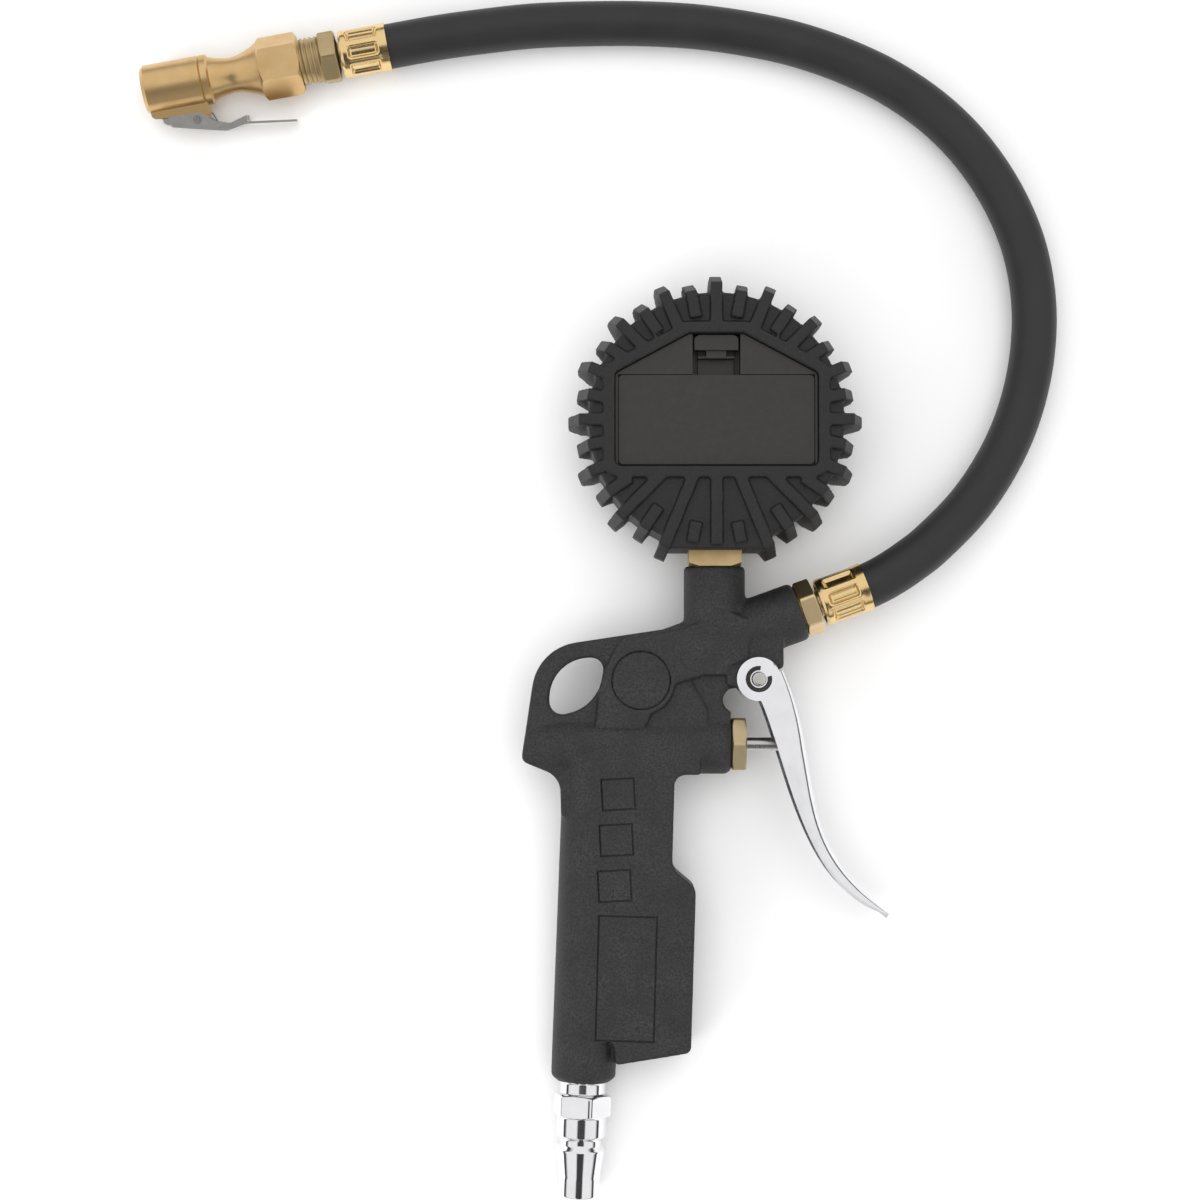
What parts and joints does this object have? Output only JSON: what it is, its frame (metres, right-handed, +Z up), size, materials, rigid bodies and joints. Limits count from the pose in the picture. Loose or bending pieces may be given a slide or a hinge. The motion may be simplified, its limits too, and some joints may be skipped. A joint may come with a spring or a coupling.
{
  "type": "tyre inflator with gauge",
  "caption": "Hand-held tyre inflator: die-cast trigger gun with a rubber-booted digital gauge, a short rubber hose and a brass clip-on valve chuck.",
  "frame": {"origin": "under the middle of the gun (hose and chuck left out), on the surface that it lies on", "axes": "+Z up from the table, +Y along the grip towards the gauge, +X towards the trigger side"},
  "size_m": [0.2597, 0.3365, 0.0375],
  "materials": {
    "body_coating": "fine textured powder coat",
    "lever_chrome": "bright plated sheet",
    "pin_steel": "ground steel",
    "clip_steel": "phosphated spring steel",
    "nut_brass": "dull turned brass",
    "plug_plated": "bright plated steel",
    "connector_brass": "satin milled brass",
    "boot_rubber": "moulded matt rubber",
    "case_plastic": "moulded, slightly glossy",
    "clear_lens": "clear moulded",
    "lcd": "liquid crystal panel",
    "board": "solder resist",
    "cell_sleeve": "printed film sleeve",
    "contact_nickel": "nickel-plated strip",
    "button_red": "moulded keypad rubber",
    "button_grey": "moulded keypad rubber",
    "ferrule_gold": "bright crimped brass",
    "hose_rubber": "smooth matt rubber",
    "chuck_brass": "satin turned brass",
    "clip_plated": "zinc-plated stamping",
    "seal_rubber": "moulded nitrile",
    "screw_steel": "zinc-plated",
    "spring_steel": "drawn wire"
  },
  "bodies": {
    "gun": {"gun_body": "body_coating", "boss_cap": "body_coating", "pivot_pin": "pin_steel", "pivot_clip": "clip_steel", "gland_nut": "nut_brass", "gland_seal": "seal_rubber", "valve_seat": "nut_brass", "valve_spring": "spring_steel", "inlet_plug": "plug_plated", "gauge_connector": "connector_brass", "connector_seal": "seal_rubber", "pressure_sensor": "screw_steel", "gauge_boot": "boot_rubber", "case_back": "case_plastic", "case_front": "case_plastic", "case_screws": "screw_steel", "battery_cells": "cell_sleeve", "battery_contacts": "contact_nickel", "circuit_board": "board", "display_panel": "lcd", "display_lens": "clear_lens", "hose_fitting": "nut_brass", "gun_ferrule": "ferrule_gold", "hose": "hose_rubber", "chuck_ferrule": "ferrule_gold", "chuck_fitting": "nut_brass", "chuck_body": "chuck_brass", "chuck_seal": "seal_rubber", "depressor_spring": "spring_steel", "clip_pin": "clip_plated", "clip_spring": "spring_steel"},
    "trigger": {"trigger_lever": "lever_chrome"},
    "valve": {"push_pin": "pin_steel", "valve_poppet": "nut_brass"},
    "power_key": {"power_button": "button_red"},
    "unit_key": {"unit_button": "button_grey"},
    "door": {"battery_door": "case_plastic"},
    "clip": {"clip_lever": "clip_plated"},
    "depressor": {"core_depressor": "chuck_brass"}
  },
  "joints": [
    {"name": "trigger_pull", "type": "hinge", "parent": "gun", "child": "trigger", "pos_m": [0.0148, 0.01598, 0.01425], "axis": [0, 0.049, -0.9988], "range_deg": [0, 12]},
    {"name": "valve_push", "type": "slide", "parent": "gun", "child": "valve", "axis": [-1, 0, 0], "range_m": [0, 0.0042], "stiffness_N_per_m": 120, "springref_m": -0.002, "deforming": ["valve_spring"]},
    {"name": "power_press", "type": "slide", "parent": "gun", "child": "power_key", "axis": [0, -0.049, 0.9988], "range_m": [0, 0.0006], "stiffness_N_per_m": 600},
    {"name": "unit_press", "type": "slide", "parent": "gun", "child": "unit_key", "axis": [0, -0.049, 0.9988], "range_m": [0, 0.0006], "stiffness_N_per_m": 600},
    {"name": "door_swing", "type": "hinge", "parent": "gun", "child": "door", "pos_m": [0.003, 0.07332, 0.03328], "axis": [1, 0, 0], "range_deg": [0, 75]},
    {"name": "clip_open", "type": "hinge", "parent": "gun", "child": "clip", "pos_m": [-0.14328, 0.17609, 0.00555], "axis": [0.0472, -0.2545, 0.9659], "range_deg": [0, 12], "stiffness_Nm_per_rad": 0.6, "deforming": ["clip_spring"]},
    {"name": "depressor_push", "type": "slide", "parent": "gun", "child": "depressor", "axis": [0.9833, 0.1822, 0], "range_m": [0, 0.002], "stiffness_N_per_m": 500, "deforming": ["depressor_spring"]}
  ],
  "couplings": [
    {"joint": "valve_push", "follows": "trigger_pull", "m_per_rad": 0.0195}
  ]
}
